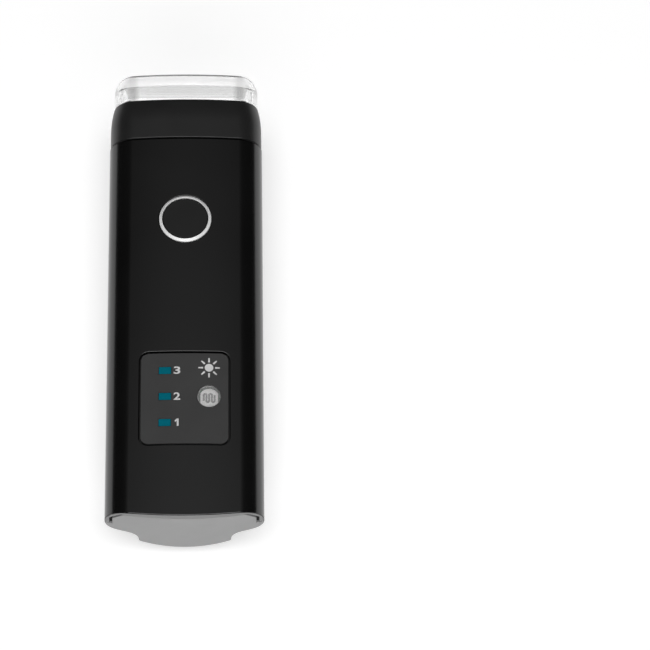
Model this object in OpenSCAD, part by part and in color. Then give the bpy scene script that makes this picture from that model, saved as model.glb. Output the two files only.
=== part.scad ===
// Bike headlight: an aluminium cover over a plastic case with a keel, a dark head ring with
// a clear lens, a push button, an indicator panel, a charging port and a slide rail.
// +Y points to the front (the lens), +X to the right, +Z up. The origin is on the rail's flat
// foot, under the middle of the length.

/* [Body] */
// Width of each shoulder beside the keel
shoulder_w = 8.25; // [7.8:0.05:11]
// Radius of the crowned top, across the width
crown_r = 125; // [90:5:300]
// Radius of the cover's long upper edges
corner_r = 6.8; // [5:0.1:7.2]
// Radius of the bowed rear end, seen from above
end_bow_r = 100; // [80:5:300]
// Depth of the cover's sides below the crown
side_h = 8.1; // [7.8:0.1:10]
// Radius of the shoulders' lower edges
under_r = 3.7; // [1.5:0.1:4]
// Slope of the shoulders' underside, in degrees
under_a = 12.6; // [6:0.2:18]
// Radius of the hollow between shoulder and keel
hollow_r = 3.5; // [1.5:0.1:4]
// Radius of the keel's rounded bottom, across the width
keel_r = 27; // [20:1:60]
// Gap at the parting line between cover and case
part_gap = 0.08; // [0.04:0.02:0.2]

/* [Walls] */
// Thickness of the cover's roof along the middle; its underside is flat
roof_t = 2.2; // [1.8:0.05:3]
// Thickness of the cover's sides
cover_wall = 1.3; // [1.1:0.05:2]
// Width of the slanted inner corner under the roof
slant_w = 2.75; // [2:0.05:4]
// Drop of the slanted inner corner
slant_h = 2.75; // [2:0.05:3.6]
// Side wall of the keel
keel_wall = 1.5; // [1.2:0.05:2]
// Keel floor along the middle
floor_t = 2.05; // [1.8:0.05:3]
// Rear wall where it is thinnest, at the sides
rear_wall_t = 1.4; // [1.2:0.1:2.5]
// Locating tongue of the case, inside the cover
tongue_t = 1.15; // [0.9:0.05:1.2]
// Height of the tongue above the parting line
tongue_h = 1.6; // [1.2:0.1:2]
// Gap between the cover and the rear wall's upper corners
end_gap = 0.68; // [0.3:0.02:0.8]

/* [Head] */
// Length of the head ring
bezel_l = 11.9; // [10.5:0.05:14]
// How far the lens stands out of the head ring
lens_l = 8.1; // [6:0.1:10]
// Height of the head
head_h = 17.5; // [16.5:0.1:18.4]
// Step from the cover's side down to the head ring
bezel_step = 0.17; // [0.05:0.01:0.3]
// Radius of the head ring's sides where they curve in
bezel_bow_r = 27; // [20:1:60]
// Straight length of the head ring's sides behind that curve
bezel_flat_l = 5.35; // [3:0.05:6]
// Wall of the head ring
bezel_wall = 1.2; // [1:0.05:1.5]
// Wall of the lens
lens_wall = 1.9; // [1.5:0.1:2.4]
// Radius of the lens's front edge
lens_edge_r = 1.5; // [0.8:0.1:1.8]
// Gap at the seam between cover and head ring
seam_gap = 0.25; // [0.15:0.05:0.4]

/* [Button] */
// Button centre, behind the head ring's seam
button_back = 23.9; // [22:0.1:30]
// Outer diameter of the polished ring
ring_d = 13.3; // [12:0.1:15]
// Bore of the polished ring
ring_bore = 11.8; // [10:0.1:11.9]
// How far the ring's inner edge stands above the cover
ring_rise = 0.42; // [0.2:0.02:0.8]
// Travel of the button
button_travel = 0.5; // [0.3:0.05:0.6]

/* [Panel] */
// Width of the indicator panel
panel_w = 21.8; // [20:0.1:22.4]
// Length of the indicator panel
panel_l = 24.95; // [23:0.05:28]
// Corner radius of the panel
panel_r = 2; // [1:0.1:3]
// Groove round the panel
panel_groove = 0.45; // [0.3:0.05:0.6]
// Panel thickness along the middle
panel_t = 1.05; // [0.9:0.05:1.2]
// Panel centre, from the rear end
panel_back = 32.05; // [28:0.05:40]
// Indicator window, across the panel
window_w = 3; // [2:0.1:3.4]
// Indicator window, along the panel
window_l = 1.9; // [1.2:0.1:2.4]
// Distance between indicator windows
window_pitch = 7.2; // [6:0.1:7.5]
// Windows and sensor, ahead of the panel's middle
window_ahead = 0.5; // [-1:0.1:1]
// Windows' middle, from the panel's left edge
window_in = 6; // [4:0.1:7]
// Diameter of the sensor window
sensor_d = 5.8; // [4.8:0.1:6]
// Sensor's middle, from the panel's right edge
sensor_in = 4.8; // [4.6:0.1:6]

/* [Inside] */
// Battery length
battery_l = 72; // [60:1:90]
// Battery width
battery_w = 19; // [17:0.1:22]
// Battery thickness
battery_t = 7; // [6.4:0.1:9]
// Space between battery and board
under_space = 1.8; // [1:0.1:3]
// Thickness of the circuit board
board_t = 1.2; // [1:0.1:1.6]
// Space between the board and the roof
top_space = 3.4; // [3.2:0.1:4.5]
// Space ahead of the battery for the light engine
front_bay = 15.4; // [14:0.05:20]
// Length of the heat sink
sink_l = 9.3; // [6:0.1:9.5]

/* [Port] */
// Width of the port well, across the keel
well_w = 11.6; // [11:0.1:12.4]
// Length of the port well
well_l = 8.4; // [7.6:0.1:10]
// Height of the charging socket
socket_h = 4.6; // [4:0.1:4.8]
// Radius of the cover's hinge knuckle
knuckle_r = 1.6; // [1.4:0.05:1.8]
// Diameter of the hinge pin
pin_d = 1.2; // [1:0.1:1.4]

/* [Rail] */
// Rail height below the keel
rail_h = 3.2; // [3:0.1:5]
// Rail length
rail_l = 44; // [36:1:56]
// Width of the rail's foot
foot_w = 17; // [15:0.5:20]
// Width of the rail's neck
neck_w = 12; // [10:0.5:13]
// Thickness of the rail's foot
foot_t = 1.7; // [1.2:0.1:1.8]
// Rail centre ahead of the body's middle
rail_ahead = 4; // [-4:1:8]
// Distance between the rail's two screws
rail_pitch = 28; // [20:1:30]

/* [Screws] */
// Thread diameter of the case and head screws
screw_d = 2; // [1.6:0.1:2.2]
// Head diameter of those screws
screw_head_d = 3.6; // [3.2:0.1:3.8]
// Head height of those screws
screw_head_h = 1.2; // [1:0.1:1.4]
// Thread diameter of the board screws
small_d = 1.4; // [1.2:0.1:1.6]
// Head diameter of the board screws
small_head_d = 2.6; // [2.2:0.1:2.8]

/* [Hidden] */
$fn = 48;

// Clearances: a close fit, a loose fit, a screw in its thread, and room round a moving piece
close = 0.08;
loose = 0.15;
thread_gap = 0.05;
swing_gap = 0.25;
// Play between pieces that lie against each other, and how far joined forms sink into each other
play = 0.1;
sink = 0.5;
// Overshoot of a cut past the face it opens
past = 1;

// Widths
battery_gap = 0.5;
keel_in = battery_w/2 + battery_gap;
keel_half = keel_in + keel_wall;
side_x = keel_half + shoulder_w;
side_in = side_x - cover_wall;
tongue_x = side_in - end_gap;
tongue_in = tongue_x - tongue_t;
boss_wall = 0.95;
boss_d = screw_d + 2*boss_wall;
boss_room = 0.4;
boss_top = 1.6;
boss_x = tongue_in - boss_room - boss_d/2;
board_gap = 0.35;
board_w = 2*(boss_x - boss_d/2 - board_gap);

// Heights, from the foot up
rail_head_h = 1.4;
pad_t = rail_head_h + 2*loose;
z_floor = rail_h + floor_t;
z_battery = z_floor + pad_t;
z_board = z_battery + battery_t + under_space;
z_board_top = z_board + board_t;
z_roof = z_board_top + top_space;
z_top = z_roof + roof_t;
z_part = z_top - side_h;
under_drop = 2.85;
groove_deep = 0.4;
groove_out = 0.55;
seal_in = 0.7;
seal_back = 1.3;
z_under = z_part - under_drop;
shoulder_deep = 1.65;
z_shoulder = z_part - shoulder_deep;
z_led = z_top - head_h/2;

// Lengths, from the rear end forwards
bow_sag = end_bow_r - sqrt(end_bow_r*end_bow_r - side_x*side_x);
knuckle_room = 0.55;
pin_room = knuckle_r + knuckle_room;
well_wall = 1.2;
hinge_wall = 1;
well_step = 0.8;
battery_end_gap = 0.8;
cover_l = bow_sag + rear_wall_t + hinge_wall + pin_room + knuckle_r + well_step + well_l
    + well_wall + battery_end_gap + battery_l + front_bay;
total_l = cover_l + seam_gap + bezel_l + lens_l;
y_rear = -total_l/2;
y_wall = y_rear + bow_sag + rear_wall_t;
y_pin = y_wall + hinge_wall + pin_room;
y_well0 = y_pin + knuckle_r + well_step;
y_well1 = y_well0 + well_l;
y_well = (y_well0 + y_well1)/2;
y_battery = y_well1 + well_wall + battery_end_gap;
y_battery_end = y_battery + battery_l;
y_seam = y_rear + cover_l;
y_bezel = y_seam + seam_gap;
y_bezel_end = y_bezel + bezel_l;
y_front = y_bezel_end + lens_l;
board_end_gap = 1.5;
board_ahead = 1.5;
y_board = y_wall + board_end_gap;
y_board_end = y_battery_end + board_ahead;
y_button = y_seam - button_back;
y_panel = y_rear + panel_back;
rail_y = rail_ahead;
notch_d = 3;
notch_in = 8;
rail_skin = 0.6;

// Light engine, behind and in the head ring
bulkhead_t = 1.5;
y_bulkhead_end = y_bezel + bulkhead_t;
led_board_t = 1.5;
led_board_back = 0.5;
y_led_board_end = y_seam - led_board_back;
y_led_board = y_led_board_end - led_board_t;
y_sink = y_led_board - sink_l;
sink_base_t = 3;
y_sink_base = y_led_board - sink_base_t;
lead_d = 1;
lead_in = 0.6;
lead_gap = 0.2;
led_board_w = 2*(keel_in - lead_gap);
sink_w = led_board_w - 2*lead_in - lead_d - 2*lead_gap;
tab_t = 3;
tab_w = sink_w - 2*lead_gap;
tab_l = 6.2;
tab_roof = 0.5;
z_tab = z_floor + play;
lip_w = sink_w + 2*lead_in;
lip_l = 3;
lip_t = 1;
lip_gap = 0.45;
z_sink = z_tab + tab_t + sink;
sink_room = 1.6;
z_sink_top = z_roof - sink_room;
led_screw_x = sink_w/2 - screw_d;
post_wall = 0.9;
post_d = screw_d + 2*post_wall;
led_w = 5;
led_base_t = 0.9;
led_dome_r = 2.1;
led_dome_in = 0.3;
port_room = 1.1;
port_half_h = led_w/2 + port_room;
port_half_w = led_screw_x - screw_d/2 - sink;

// Head outline, and the lens skirt inside the head ring
head_x = side_x - bezel_step;
z_head_top = z_top - bezel_step;
z_head_low = z_top - head_h;
low_r_less = 0.6;
head_low_r = corner_r - low_r_less;
bow_l = bezel_l - bezel_flat_l;
bezel_inset = bezel_bow_r - sqrt(bezel_bow_r*bezel_bow_r - bow_l*bow_l);
skirt_inset = bezel_inset + bezel_wall + play;
skirt_t = 1.2;
skirt_l = 2.6;
seal_t = 0.6;
y_skirt = y_bezel_end - skirt_l;
y_shelf = y_skirt - seal_t;
shelf_w = 1;
shelf_inset = skirt_inset + shelf_w;
reflector_gap = 0.2;
bowl_r = 3.2;
bowl_rim = 1;
lens_front_t = 1.75*lens_wall;
y_reflector = y_bulkhead_end + thread_gap;
y_reflector_end = y_skirt - play;

// Button stack
sleeve_t = 0.6;
ring_sleeve_d = ring_bore + 2*sleeve_t;
ring_hole_d = ring_sleeve_d + 2*thread_gap;
ring_edge = 0.12;
z_button_top = z_top + ring_rise - ring_edge;
sleeve_out = 0.3;
z_sleeve = z_roof - sleeve_out;
ring_sag = crown_r - sqrt(crown_r*crown_r - ring_d*ring_d/4);
seat_deep = 0.3;
z_ring_seat = z_top - ring_sag - seat_deep;
cap_d = ring_bore - 2*play;
cap_edge = 0.25;
flange_d = ring_sleeve_d - 2*play;
flange_t = 0.45;
z_flange = z_sleeve - thread_gap - flange_t;
tact_w = 6.2;
tact_h = 1.6;
z_tact_top = z_board_top + tact_h;
tact_floor = 0.25;
plunger_d = 3;
plunger_gap = 0.2;
z_plunger_top = z_flange - play;
seal_w = 1.3;
seal_d = ring_d + 2*seal_w;

// Panel stack, measured down from the crown
panel_drop = 0.15;
gasket_t = 0.25;
z_panel = z_top - panel_drop - panel_t;
z_pocket = z_panel - gasket_t;
panel_ledge = 1.2;
guide_rim = 0.5;
led_h = 0.8;
led_l = 1.6;
cap_drop = 0.02;
x_window = -panel_w/2 + window_in;
x_sensor = panel_w/2 - sensor_in;
y_windows = y_panel + window_ahead;
sensor_rim_w = 0.4;
sensor_rim_t = 0.6;
z_sensor_top = z_panel - sensor_rim_t - play;
sensor_edge = 0.35;
sensor_disc_d = sensor_d - 2*sensor_edge;
sensor_disc_t = 0.9;
sensor_lead_d = 0.5;

// Charging port
socket_w = 7.8;
socket_l = 2.9;
z_socket = z_board - socket_h;
port_seal_t = 0.5;
ceiling_t = 0.9;
z_ceiling = z_socket - port_seal_t - ceiling_t;
socket_wall = 0.35;
socket_back = 0.6;
socket_tongue_w = 4.4;
slot_w = socket_w - 2*socket_wall - play;
slot_l = socket_l - 2*socket_wall;
seal_edge = 0.7;
z_pin = rail_h + knuckle_r;
door_more = 0.2;
door_t = knuckle_r + door_more;
door_ledge = 1.1;
door_w = well_w + 2*door_ledge;
y_door_end = y_well1 + door_ledge;
door_step = 0.6;
knuckle_l = 6.8;
pin_l = 10.8;
pin_floor = 0.35;
nail_r = 1.9;
nail_l = 6;
nail_low = 0.9;
nail_ahead = 1.2;

// Board pillars and case bosses
pillar_wall = 0.6;
pillar_d = small_d + 2*pillar_wall;
pillar_x = board_w/2 - pillar_d/2 + 2*play;
pillar_in = 3.2;
pillar_y = [y_board + pillar_in, y_board_end - pillar_in];
boss_in = 9;
boss_y = [y_wall + boss_in, y_seam - boss_in];
seat_t = 1.2;
z_case_seat = z_shoulder - seat_t;
screw_way = screw_d + 2*loose;
head_way = screw_head_d + 2*loose;
small_head_h = 0.9;
bezel_screw_x = 5;
bezel_screw_y = y_seam - tab_l/2 - 2*loose;
bezel_seat_t = 1.3;
z_bezel_seat = rail_h + bezel_seat_t;

// Board components: coil, controller, power chips and a diode, behind the button switch
coil_w = 6;
coil_h = 2.4;
chip_w = 5;
chip_l = 4;
chip_h = 1;
diode_w = 3;
row_gap = 1.5;
chip_x = 5.2;
y_coil = y_button - seal_d/2 - row_gap - coil_w/2;
y_chips = y_coil - coil_w/2 - row_gap - chip_l/2;
battery_pad_w = neck_w;
pad_end_gap = 2;
battery_lead_x = 3;
battery_lead_out = 0.8;
battery_r = 1.2;

// Points of an arc, without its first point when skip is 1
function arc(c, r, a0, a1, n, skip = 0) =
    [for (i = [skip:n]) let (a = a0 + (a1 - a0)*i/n) c + r*[cos(a), sin(a)]];

function unit(v) = v/norm(v);

// Arc of radius r that rounds the corner b between a and c
function fillet(a, b, c, r, n = 8) =
    let (u = unit(a - b), v = unit(c - b), half = acos(u*v)/2)
    let (o = b + unit(u + v)*r/sin(half))
    let (p = b + u*r/tan(half) - o, q = b + v*r/tan(half) - o)
    let (a0 = atan2(p[1], p[0]), turn = atan2(cross(p, q), p*q))
    arc(o, r, a0, a0 + turn, n);

// Half of a shallow arc that is crowned on x = 0, out to the angle reach
function crown(r, zc, reach, n = 8) =
    [for (i = [0:n]) let (a = reach*(i + 0.5)/(n + 0.5)) [r*sin(a), zc + r*cos(a)]];

function reversed(p) = [for (i = [len(p) - 1:-1:0]) p[i]];

// Closed outline from its right half, listed from the top down
function both_sides(half) = concat(half, [for (p = reversed(half)) [-p[0], p[1]]]);

// Crowned top with rounded corners: right half, from the middle out and down to the side
function crowned_top(x, z, r, rc) =
    let (xc = x - rc, reach = asin(xc/(r - rc)), zc = z - r)
    concat(crown(r, zc, reach), arc([xc, zc + (r - rc)*cos(reach)], rc, 90 - reach, 0, 14, 1));

// Rounded rectangle with a crowned top and bottom
function crowned_rect(x, z_hi, z_lo, r, r_hi, r_lo) =
    let (low = crowned_top(x, -z_lo, r, r_lo))
    both_sides(concat(crowned_top(x, z_hi, r, r_hi), reversed([for (p = low) [p[0], -p[1]]])));

// Head outline, drawn in by d on every side
function head(d) = crowned_rect(head_x - d, z_head_top - d, z_head_low + d,
    crown_r - d, max(corner_r - d, 1), max(head_low_r - d, 1));

// Outer outline of the whole body: cover, shoulders and keel
keel_edge_w = 2.4;
keel_edge_r = 0.9;
z_keel_edge = rail_h + keel_r - sqrt(keel_r*keel_r - keel_half*keel_half);
side_corner = [side_x, z_under];
hollow_corner = [keel_half, z_under - shoulder_w*tan(under_a)];
keel_corner = [keel_half, z_keel_edge];
keel_turn = asin((keel_half - keel_edge_w)/keel_r);
keel_next = [keel_r*sin(keel_turn), rail_h + keel_r - keel_r*cos(keel_turn)];
corner_end = z_top - crown_r + sqrt(pow(crown_r - corner_r, 2) - pow(side_x - corner_r, 2));
under_fit = min(under_r, (corner_end - z_under)*tan((90 + under_a)/2));
body_outline = both_sides(concat(
    crowned_top(side_x, z_top, crown_r, corner_r),
    fillet([side_x, z_top], side_corner, hollow_corner, under_fit, 10),
    fillet(side_corner, hollow_corner, keel_corner, hollow_r, 8),
    fillet(hollow_corner, keel_corner, keel_next, keel_edge_r, 4),
    reversed([for (p = crown(keel_r, 0, keel_turn, 6)) [p[0], rail_h + keel_r - p[1]]])));

slant_r = 1.2;
slant_low_r = 1;

// Inside of the cover, with a gap under the flat roof and one beside the slanted corner and the side
function cover_inside(top, side) =
    let (slope = atan2(slant_h, slant_w), z = z_roof - top)
    let (a = [side_in - slant_w - side/sin(slope) + top/tan(slope), z])
    let (b = [side_in - side, z_roof - slant_h - side*tan((90 - slope)/2)])
    both_sides(concat(fillet([0, z], a, b, slant_r, 4), fillet(a, b, [b[0], 0], slant_low_r, 4),
        [[b[0], z_floor]]));

// Inside of the case: keel channel, shoulders and the space between the tongues
case_inside = both_sides(concat([[tongue_in, z_top]],
    fillet([tongue_in, z_top], [tongue_in, z_shoulder], [keel_in, z_shoulder], boss_room, 4),
    [[keel_in, z_shoulder]],
    fillet([keel_in, z_shoulder], [keel_in, z_floor], [0, z_floor], battery_r, 4)));

// Carries an outline of the X-Z plane from y0 to y1
module along_y(y0, y1) {
    translate([0, y1, 0]) rotate([90, 0, 0]) linear_extrude(y1 - y0) children();
}

// Box centred on x
module block(w, y0, y1, z0, z1, x = 0) {
    translate([x - w/2, y0, z0]) cube([w, y1 - y0, z1 - z0]);
}

// Upright cylinder
module post(d, z0, z1) {
    translate([0, 0, z0]) cylinder(d = d, h = z1 - z0);
}

// Cylinder along Y
module rod_y(d, y0, y1) {
    translate([0, y0, 0]) rotate([-90, 0, 0]) cylinder(d = d, h = y1 - y0);
}

// Cylinder along X, centred on x = 0
module rod_x(d, l, y, z) {
    translate([-l/2, y, z]) rotate([0, 90, 0]) cylinder(d = d, h = l);
}

// Skin over a row of outlines of equal length, at the given places along Y
module loft(rings, ys) {
    n = len(rings[0]);
    m = len(rings);
    points = [for (k = [0:m - 1]) for (p = rings[k]) [p[0], ys[k], p[1]]];
    sides = [for (k = [0:m - 2]) for (i = [0:n - 1])
        [k*n + i, (k + 1)*n + i, (k + 1)*n + (i + 1)%n, k*n + (i + 1)%n]];
    ends = [[for (i = [0:n - 1]) i], [for (i = [n - 1:-1:0]) (m - 1)*n + i]];
    polyhedron(points, concat(sides, ends));
}

// Copies at two places in x and a list of places in y
module at_pairs(x, ys) {
    for (sx = [-1, 1]) for (y = ys) translate([sx*x, y, 0]) children();
}

// Screw that points up from the origin, its head below with a hexagonal drive
module screw(d, l, head_d, head_h) {
    difference() {
        union() {
            post(d, 0, l);
            post(head_d, -head_h, 0);
        }
        translate([0, 0, -head_h - past]) cylinder(d = head_d*0.5, h = past + head_h*0.6, $fn = 6);
    }
}

// Keeps what lies ahead of the bowed rear end
module rear_trim() {
    intersection() {
        children();
        translate([0, y_rear + end_bow_r, -past])
            cylinder(r = end_bow_r, h = z_top + 2*past, $fn = 180);
    }
}

// Plan of the indicator panel, grown by d
module panel_plan(d) {
    r = panel_r + d;
    translate([0, y_panel]) {
        square([panel_w + 2*d - 2*r, panel_l + 2*d], center = true);
        square([panel_w + 2*d, panel_l + 2*d - 2*r], center = true);
        for (sx = [-1, 1]) for (sy = [-1, 1])
            translate([sx*(panel_w/2 + d - r), sy*(panel_l/2 + d - r)]) circle(r);
    }
}

// Space under the crowned top over the panel, lowered by d
module under_crown(d) {
    along_y(y_panel - panel_l, y_panel + panel_l) translate([0, -d]) polygon(body_outline);
}

module upright(z0, z1) {
    translate([0, 0, z0]) linear_extrude(z1 - z0) children();
}

// Upright bar with the plan of an indicator window, grown by d
module window_bar(d, z0, z1) {
    block(window_w + 2*d, -window_l/2 - d, window_l/2 + d, z0, z1);
}

// Places of the light engine's two screws, which lie along Y
module at_led_screws() {
    for (sx = [-1, 1]) translate([sx*led_screw_x, 0, z_led]) children();
}

// Places of the rail's two screws
module at_rail_screws() {
    for (s = [-1, 1]) translate([0, rail_y + s*rail_pitch/2, 0]) children();
}

// Places of the three indicators
module at_windows() {
    for (k = [-1:1]) translate([x_window, y_windows + k*window_pitch, 0]) children();
}

module top_cover() {
    color([0.12, 0.12, 0.125]) difference() {
        union() {
            rear_trim() along_y(y_rear - past, y_seam) difference() {
                intersection() {
                    polygon(body_outline);
                    translate([-side_x - past, z_part]) square([2*(side_x + past), side_h + past]);
                }
                polygon(cover_inside(0, 0));
            }
            at_pairs(boss_x, boss_y) post(boss_d, z_shoulder + play, z_roof + play);
        }
        at_pairs(boss_x, boss_y) post(screw_d + 2*thread_gap, z_shoulder, z_roof - boss_top);
        translate([0, y_button, 0]) {
            post(ring_hole_d, z_roof - past, z_top + past);
            post(ring_d + 2*loose, z_ring_seat, z_top + past);
        }
        upright(z_pocket, z_top + past) panel_plan(panel_groove);
        upright(z_roof - past, z_top) panel_plan(-panel_ledge);
    }
}

// Hollow well that the charging plug enters, with the hinge block behind it
module port_block() {
    block(well_w + 2*well_wall, y_wall - sink, y_well1 + well_wall, z_floor - sink, z_ceiling + ceiling_t);
}

module port_cuts() {
    block(well_w, y_well0, y_well1, 0, z_ceiling);
    block(slot_w, y_well - slot_l/2, y_well + slot_l/2, z_ceiling - past, z_ceiling + 2*ceiling_t);
    block(door_w + 2*loose, y_pin, y_door_end + swing_gap, 0, rail_h + door_t + loose);
    block(knuckle_l + 2*loose, y_pin - pin_room, y_pin + knuckle_r + swing_gap, 0,
        z_pin + knuckle_r + swing_gap);
    block(door_w + 2*loose, y_pin - pin_room, y_pin + past, 0, z_pin - pin_d/2 - pin_floor);
    rod_x(pin_d + 2*thread_gap, pin_l + 2*play, y_pin, z_pin);
    rod_x(2*nail_r, nail_l, y_door_end + nail_ahead, rail_h - nail_low);
}

module case_shell() {
    rear_trim() {
        along_y(y_wall - past/2, y_seam) difference() {
            intersection() {
                polygon(body_outline);
                translate([-side_x - past, 0]) square([2*(side_x + past), z_part - part_gap]);
            }
            polygon(case_inside);
        }
        along_y(y_rear - past, y_wall) intersection() {
            polygon(body_outline);
            translate([-side_x - past, 0]) square([2*(side_x + past), z_part - part_gap]);
        }
        along_y(y_rear - past, y_wall - seal_back) end_outline(close, end_gap);
        along_y(y_wall - seal_back - 2*loose, y_wall) end_outline(seal_in + play, end_gap + seal_in - play);
    }
    for (sx = [-1, 1])
        block(tongue_t, y_wall - 2*play, y_seam, z_shoulder + 2*play, z_part + tongue_h,
            sx*(tongue_x - tongue_t/2));
}

// Outline of the rear wall inside the cover, with a gap under the roof and one at the sides
module end_outline(top, side) {
    intersection() {
        polygon(cover_inside(top, side));
        polygon(body_outline);
    }
}

module lower_case() {
    color([0.6, 0.6, 0.6]) difference() {
        union() {
            case_shell();
            port_block();
            at_pairs(pillar_x, pillar_y) post(pillar_d, z_shoulder - sink, z_board);
        }
        port_cuts();
        for (sx = [-1, 1])
            block(side_in + groove_out - tongue_x, y_rear - past, y_seam + past, z_part - groove_deep,
                z_part + past, sx*(side_in + groove_out + tongue_x)/2);
        at_pairs(pillar_x, pillar_y) post(small_d + 2*thread_gap, z_shoulder, z_board + past);
        at_pairs(boss_x, boss_y) {
            post(screw_way, 0, z_top);
            post(head_way, 0, z_case_seat);
        }
        at_pairs(bezel_screw_x, [bezel_screw_y]) {
            post(screw_way, 0, z_floor + past);
            post(head_way, 0, z_bezel_seat);
        }
        at_rail_screws() post(screw_way, 0, z_floor + past);
    }
}

module case_seal() {
    color([0.05, 0.05, 0.05]) rear_trim() {
        along_y(y_wall - seal_back + thread_gap, y_wall - swing_gap) difference() {
            polygon(cover_inside(thread_gap, thread_gap));
            polygon(cover_inside(seal_in + thread_gap, end_gap + seal_in - loose));
            translate([-side_x, 0]) square([2*side_x, z_part + 2*play]);
        }
        for (sx = [-1, 1])
            block(end_gap - play, y_wall - sink, y_seam - 2*play, z_part + 2*play, z_part + tongue_h - play,
                sx*(side_in - end_gap/2));
    }
}

module case_screws() {
    color("silver") at_pairs(boss_x, boss_y) translate([0, 0, z_case_seat])
        screw(screw_d, z_roof - boss_top - boss_room - z_case_seat, screw_head_d, screw_head_h);
}

// Outside of the head ring: straight behind, curving in towards the lens
module bezel_form() {
    steps = 8;
    ys = concat([y_bezel], [for (i = [0:steps]) y_bezel + bezel_flat_l + bow_l*i/steps]);
    loft([for (y = ys) let (t = max(y - y_bezel - bezel_flat_l, 0))
        head(bezel_bow_r - sqrt(bezel_bow_r*bezel_bow_r - t*t))], ys);
}

module front_bezel() {
    color([0.15, 0.15, 0.155]) {
        difference() {
            bezel_form();
            along_y(y_shelf, y_bezel_end + past) polygon(head(skirt_inset - play));
            along_y(y_bulkhead_end, y_shelf + past) polygon(head(shelf_inset));
            block(2*port_half_w, y_bezel - past, y_bulkhead_end + past,
                z_led - port_half_h, z_led + port_half_h);
            at_led_screws() rod_y(screw_d + 2*thread_gap, y_bezel - past, y_bulkhead_end + past);
        }
        at_led_screws() difference() {
            rod_y(post_d, y_led_board_end, y_bezel);
            rod_y(screw_d + 2*thread_gap, y_led_board_end - past, y_bezel + past);
        }
        difference() {
            block(tab_w, y_seam - tab_l, y_bezel + sink, z_tab, z_tab + tab_t);
            at_pairs(bezel_screw_x, [bezel_screw_y])
                post(screw_d + 2*thread_gap, z_tab - past, z_tab + tab_t - tab_roof);
        }
        block(lip_w, y_seam - lip_l, y_bezel + sink, z_roof - lip_gap - lip_t, z_roof - lip_gap);
    }
}

module bezel_screws() {
    color("silver") at_pairs(bezel_screw_x, [bezel_screw_y]) translate([0, 0, z_bezel_seat])
        screw(screw_d, z_tab + tab_t - tab_roof - 2*play - z_bezel_seat, screw_head_d, screw_head_h);
}

// Outside of the lens: straight sides and a rounded front edge
module lens_form() {
    steps = 6;
    turns = [for (i = [0:steps]) 90*i/steps];
    ys = concat([y_bezel_end + thread_gap], [for (a = turns) y_front - lens_edge_r*(1 - sin(a))]);
    loft(concat([head(bezel_inset)],
        [for (a = turns) head(bezel_inset + lens_edge_r*(1 - cos(a)))]), ys);
}

module lens() {
    color([0.85, 0.9, 0.92, 0.5]) difference() {
        union() {
            lens_form();
            along_y(y_skirt, y_bezel_end + sink) polygon(head(skirt_inset));
        }
        along_y(y_skirt - past, y_bezel_end) polygon(head(skirt_inset + skirt_t));
        along_y(y_bezel_end - past/2, y_front - lens_front_t) polygon(head(bezel_inset + lens_wall));
    }
}

module lens_seal() {
    color([0.08, 0.08, 0.08]) along_y(y_shelf, y_skirt) difference() {
        polygon(head(skirt_inset + thread_gap));
        polygon(head(shelf_inset - thread_gap));
    }
}

// Outline of the mirror bowl at depth t, from 0 at the lamp to 1 at its mouth
function bowl(t) =
    let (reach = pow(t, 0.55), e = 2/(2 + 2.5*t))
    let (a = bowl_r + (head_x - shelf_inset - bowl_rim - bowl_r)*reach)
    let (b = bowl_r + (head_h/2 - shelf_inset - bowl_rim - bowl_r)*reach)
    [for (i = [0:47]) let (w = -7.5*i, c = cos(w), s = sin(w))
        [a*sign(c)*pow(abs(c), e), z_led + b*sign(s)*pow(abs(s), e)]];

module reflector() {
    rings = 10;
    mouth_l = y_reflector_end - y_reflector + 2*play;
    color("gainsboro") difference() {
        along_y(y_reflector, y_reflector_end) polygon(head(shelf_inset + reflector_gap));
        loft([for (k = [0:rings]) bowl(k/rings)],
            [for (k = [0:rings]) y_reflector - play + mouth_l*k/rings]);
    }
}

module led_board() {
    color([0.9, 0.9, 0.88]) difference() {
        block(led_board_w, y_led_board, y_led_board_end, z_sink, z_sink_top);
        at_led_screws() rod_y(screw_way, y_led_board - past, y_led_board_end + past);
    }
}

module led_emitter() {
    color([0.95, 0.85, 0.3]) {
        block(led_w, y_led_board_end, y_led_board_end + led_base_t, z_led - led_w/2, z_led + led_w/2);
        intersection() {
            translate([0, y_led_board_end + led_base_t - led_dome_in, z_led]) sphere(led_dome_r);
            block(led_w, y_led_board_end + led_base_t/2, y_led_board_end + led_w,
                z_led - led_w, z_led + led_w);
        }
    }
}

module heat_sink() {
    fins = 4;
    fin_gap = 1.6;
    fin_t = 1.1;
    pitch = (z_sink_top - z_sink - fin_t)/(fins - 1);
    color("lightgray") difference() {
        block(sink_w, y_sink, y_led_board, z_sink, z_sink_top);
        for (k = [0:fins - 2])
            block(sink_w + past, y_sink - past, y_sink_base, z_sink + fin_t + k*pitch,
                z_sink + fin_t + k*pitch + fin_gap);
        at_led_screws() {
            rod_y(screw_way, y_sink - past, y_led_board + past);
            rod_y(head_way, y_sink - past, y_sink_base);
        }
    }
}

module led_screws() {
    color("silver") at_led_screws() translate([0, y_sink_base, 0]) rotate([-90, 0, 0])
        screw(screw_d, y_bulkhead_end - y_sink_base, screw_head_d, screw_head_h);
}

module led_leads() {
    color("firebrick") for (sx = [-1, 1])
        translate([sx*(led_board_w/2 - lead_in), 0, z_board + board_t/2])
            rod_y(lead_d, y_board_end, y_led_board);
}

module main_board() {
    color("darkgreen") difference() {
        block(board_w, y_board, y_board_end, z_board, z_board_top);
        at_pairs(pillar_x, pillar_y) post(small_d + 2*play, z_board - past, z_board_top + past);
    }
}

module board_screws() {
    color("silver") at_pairs(pillar_x, pillar_y) translate([0, 0, z_board_top]) rotate([180, 0, 0])
        screw(small_d, z_board_top - z_shoulder - boss_room, small_head_d, small_head_h);
}

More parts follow.
